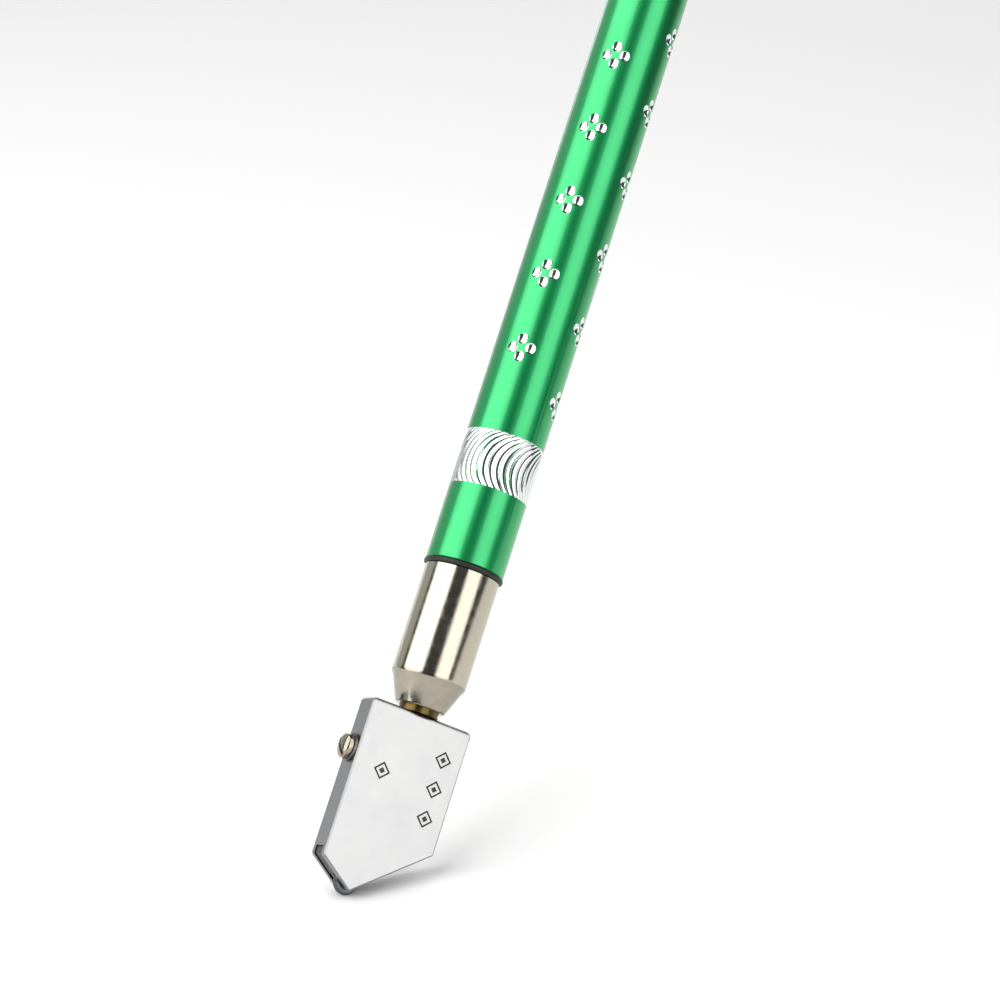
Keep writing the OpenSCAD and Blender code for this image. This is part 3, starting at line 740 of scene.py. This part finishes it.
# Cold rolled sheet steel: plain grey with a soft rolled shine.
rolled_steel, tree, shader = new_material("cold_rolled_steel")
place = add_node(tree, "ShaderNodeTexCoord").outputs["Object"]
rolled = add_node(tree, "ShaderNodeTexNoise", {"Vector": place, "Scale": 3000, "Detail": 3})
rough = add_node(tree, "ShaderNodeMapRange", {"Value": rolled.outputs["Fac"], "To Min": 0.28,
                                              "To Max": 0.42})
shader.inputs["Base Color"].default_value = linear("#A6A7A9")
shader.inputs["Metallic"].default_value = 1.0
tree.links.new(rough.outputs[0], shader.inputs["Roughness"])
fit(yoke, rolled_steel, "head", "sheet_steel", "wheel_yoke")

felt_low, felt_high = mm_box("felt_strips")
felt_half = (felt_high.y - felt_low.y) / 2
felt_play, felt_drop = 0.05, 0.16               # off the yoke, and below the head's outline
nap_height = 0.09
long_nap, short_nap = 3.1, 9.0                  # waves of the nap per millimetre
strips = []
for name, low_x, high_x, normal in (
        ("left", felt_low.x, yoke_low.x - felt_play, left_normal),
        ("right", yoke_high.x + felt_play, felt_high.x, right_normal)):
    strip = block(name, (low_x, -felt_half, head_low.z), (high_x, felt_half, felt_high.z))
    saw(strip, Vector((tip_x, 0, head_low.z)) - normal * felt_drop, normal)
    edit_all(strip)
    bpy.ops.mesh.subdivide(number_cuts=2)
    bpy.ops.object.mode_set(mode="OBJECT")
    apply_modifier(strip, "cells", "REMESH", mode="VOXEL", voxel_size=nap_height * MM)
    for vertex in strip.data.vertices:
        nap = (noise.noise(vertex.co / MM * long_nap) * 0.6
               + noise.noise(vertex.co / MM * short_nap) * 0.4)
        vertex.co += vertex.normal * (nap - 0.5) * nap_height * MM
    strips.append(strip)
felt = join(strips[0], strips[1:])
felt.name = "felt_filling"
smooth(felt, 80)

# Pressed wool felt soaked with oil: dark brown-black fibres with paler flecks and a damp
# sheen; the fibres are drawn coarser than real, about 0.15 mm, so that they show.
oiled_felt, tree, shader = new_material("oil_soaked_wool_felt")
place = add_node(tree, "ShaderNodeTexCoord").outputs["Object"]
fibre = add_node(tree, "ShaderNodeTexNoise", {"Vector": place, "Scale": 6500, "Detail": 5,
                                              "Roughness": 0.75})
mottle = add_node(tree, "ShaderNodeTexNoise", {"Vector": place, "Scale": 1300, "Detail": 3})
dark_tone = add_node(tree, "ShaderNodeMix", {"Factor": mottle.outputs["Fac"], 6: linear("#0D0C0A"),
                                             7: linear("#3B372D")},
                     data_type="RGBA")
flecks = add_node(tree, "ShaderNodeMapRange", {"Value": fibre.outputs["Fac"], "From Min": 0.55,
                                               "From Max": 0.75})
tone = add_node(tree, "ShaderNodeMix", {"Factor": flecks.outputs[0], 6: dark_tone.outputs[2],
                                        7: linear("#8B8573")},
                data_type="RGBA")
bump = add_node(tree, "ShaderNodeBump", {"Strength": 0.7, "Distance": 0.08 * MM,
                                         "Height": fibre.outputs["Fac"]})
shader.inputs["Roughness"].default_value = 0.5
shader.inputs["Coat Weight"].default_value = 0.25
shader.inputs["Coat Roughness"].default_value = 0.3
tree.links.new(tone.outputs[2], shader.inputs["Base Color"])
tree.links.new(bump.outputs[0], shader.inputs["Normal"])
fit(felt, oiled_felt, "head", "oiled_felt", "felt_strips")


# --- Tail: collar, gasket and filler cap --------------------------------------
# A brass collar is pressed into the tube's tail. The knurled, nickel-plated cap screws
# into it on a rubber gasket, and comes off to fill the handle with oil.
collar_low, collar_high = mm_box("tail_collar")
collar_bore_r = 3.55
collar = turned("pressed_collar", [
    (collar_bore_r, collar_low.z), (tube_bore_r - 0.2, collar_low.z), (tube_bore_r - 0.01,
                                                                       collar_low.z + 0.3),
    (tube_bore_r - 0.01, tube_high.z), (tube_r - 0.1, tube_high.z), (tube_r - 0.02, tube_high.z + 0.1),
    (tube_r - 0.02, collar_high.z - 0.2), (tube_r - 0.22, collar_high.z), (collar_bore_r, collar_high.z)])
smooth(collar, 35)
gasket_low, gasket_high = mm_box("cap_gasket")
gasket = turned("moulded_gasket", [
    (collar_bore_r, gasket_low.z), (gasket_high.x - 0.1, gasket_low.z), (gasket_high.x, gasket_low.z + 0.2),
    (gasket_high.x, gasket_high.z - 0.2), (gasket_high.x - 0.1, gasket_high.z), (collar_bore_r,
                                                                                 gasket_high.z)])
smooth(gasket, 50)
fit(gasket, nitrile, "cap", "black_rubber", "cap_gasket")

cap_low, cap_high = mm_box("tail_cap")
cap_r = cap_high.x
knurl_count, knurl_points, knurl_depth = 30, 8, 0.3
crown_rise = 1.2
crown_r = cap_r - knurl_depth - 0.25
knurl_low, knurl_high = gasket_high.z, cap_high.z - crown_rise
crown = [(crown_r * math.cos(a), knurl_high + crown_rise * math.sin(a))
         for a in (math.radians(11 * i) for i in range(1, 9))]
spigot_r = 3.24
cap = turned("knurled_cap", [(0.4, cap_low.z), (spigot_r - 0.25, cap_low.z), (spigot_r, cap_low.z + 0.25),
                             (spigot_r, knurl_low),
                             (cap_r - 0.5, knurl_low), (cap_r, knurl_low + 0.5), (cap_r, knurl_high - 0.5),
                             (cap_r - 0.4, knurl_high - 0.02)] + crown, sides=knurl_count * knurl_points,
             closed=False)
edit_all(cap)
bpy.ops.mesh.select_all(action="DESELECT")
bpy.ops.mesh.select_non_manifold()
bpy.ops.mesh.fill_holes(sides=0)
bpy.ops.object.mode_set(mode="OBJECT")
for vertex in cap.data.vertices:
    x, y, z = vertex.co / MM
    radius = math.hypot(x, y)
    if radius > cap_r - 0.01:
        valley = abs(((math.atan2(y, x) / math.tau * knurl_count) % 1) * 2 - 1)
        vertex.co.x *= 1 - knurl_depth * valley / radius
        vertex.co.y *= 1 - knurl_depth * valley / radius
tidy_mesh(cap)
thread_pitch, thread_turns, thread_r = 0.6, 8, 0.24
thread_start = cap_low.z + 0.7
deselect()
bpy.ops.mesh.primitive_circle_add(vertices=3, radius=thread_r * MM, rotation=(math.radians(90), 0, 0),
                                  location=(spigot_r * MM, 0, thread_start * MM))
thread = bpy.context.object
bpy.ops.object.transform_apply(location=True, rotation=True, scale=True)
edit_all(thread)
bpy.ops.transform.rotate(value=math.radians(-90), orient_axis="Y",
                         center_override=(spigot_r * MM, 0, thread_start * MM))
bpy.ops.object.mode_set(mode="OBJECT")
apply_modifier(thread, "helix", "SCREW", angle=math.tau, screw_offset=thread_pitch * MM,
               iterations=thread_turns,
               steps=60, render_steps=60, axis="Z")
edit_all(thread)
bpy.ops.mesh.remove_doubles(threshold=0.0005 * MM)
bpy.ops.mesh.select_all(action="DESELECT")
bpy.ops.mesh.select_non_manifold()
bpy.ops.mesh.fill_holes(sides=3)
bpy.ops.object.mode_set(mode="OBJECT")
tidy_mesh(thread)
apply_modifier(cap, "thread", "BOOLEAN", operation="UNION", solver="EXACT", object=thread)
bpy.data.objects.remove(thread)
smooth(cap, 25)
fit(cap, nickel, "cap", "nickel_plate", "tail_cap")

# Free-cutting brass, turned: warm yellow with fine rings left by the tool.
turned_brass, tree, shader = new_material("turned_brass")
place = add_node(tree, "ShaderNodeTexCoord").outputs["Object"]
rings = add_node(tree, "ShaderNodeMapping", {"Vector": place, "Scale": (0.05, 0.05, 1)})
tool_marks = add_node(tree, "ShaderNodeTexNoise", {"Vector": rings.outputs[0], "Scale": 8000, "Detail": 2})
rough = add_node(tree, "ShaderNodeMapRange", {"Value": tool_marks.outputs["Fac"], "To Min": 0.16,
                                              "To Max": 0.32})
bump = add_node(tree, "ShaderNodeBump", {"Strength": 0.2, "Distance": 0.008 * MM,
                                         "Height": tool_marks.outputs["Fac"]})
shader.inputs["Base Color"].default_value = linear("#D9B15E")
shader.inputs["Metallic"].default_value = 1.0
tree.links.new(rough.outputs[0], shader.inputs["Roughness"])
tree.links.new(bump.outputs[0], shader.inputs["Normal"])
fit(collar, turned_brass, "handle", "brass", "tail_collar")


# --- Inner works ---------------------------------------------------------------
# The stem, its washers, seal, spring and wick keep the frame's own solids; only their
# finishes are given here.
# Cotton, twisted: pale, matt strands, drawn about 0.2 mm wide.
cotton, tree, shader = new_material("twisted_cotton")
place = add_node(tree, "ShaderNodeTexCoord").outputs["Object"]
strands = add_node(tree, "ShaderNodeTexNoise", {"Vector": place, "Scale": 5000, "Detail": 3})
tone = add_node(tree, "ShaderNodeMix", {"Factor": strands.outputs["Fac"], 6: linear("#CFC6AE"),
                                        7: linear("#F0EADB")},
                data_type="RGBA")
bump = add_node(tree, "ShaderNodeBump", {"Strength": 0.5, "Distance": 0.05 * MM,
                                         "Height": strands.outputs["Fac"]})
shader.inputs["Roughness"].default_value = 0.9
tree.links.new(tone.outputs[2], shader.inputs["Base Color"])
tree.links.new(bump.outputs[0], shader.inputs["Normal"])

# Brass darkened partly by years of cutting oil and partly by painted shade, for the neck in shadow between
# ferrule and head: olive brown, with brighter rubbed patches.
brass_oiled_and_painted_shade, tree, shader = new_material("oil_and_painted_shade_brass")
place = add_node(tree, "ShaderNodeTexCoord").outputs["Object"]
stain = add_node(tree, "ShaderNodeTexNoise", {"Vector": place, "Scale": 900, "Detail": 4})
# Dark olive tones: oil stain and painted shade of the shadowed neck.
tone = add_node(tree, "ShaderNodeMix", {"Factor": stain.outputs["Fac"], 6: linear("#332B18"),
                                        7: linear("#7F6C3C")},
                data_type="RGBA")
rough = add_node(tree, "ShaderNodeMapRange", {"Value": stain.outputs["Fac"], "To Min": 0.18, "To Max": 0.4})
shader.inputs["Metallic"].default_value = 1.0
tree.links.new(tone.outputs[2], shader.inputs["Base Color"])
tree.links.new(rough.outputs[0], shader.inputs["Roughness"])

for node, finish in (("stem", brass_oiled_and_painted_shade), ("thrust_washer", brass_oiled_and_painted_shade), ("spring_seat", turned_brass),
                     ("valve_spring", spring_steel), ("rod_seal", nitrile), ("valve_washer", nitrile),
                     ("stem_wick", cotton), ("yoke_pin", rolled_steel), ("axle_pin", rolled_steel)):
    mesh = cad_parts[node].data
    mesh.materials.clear()
    mesh.materials.append(finish)
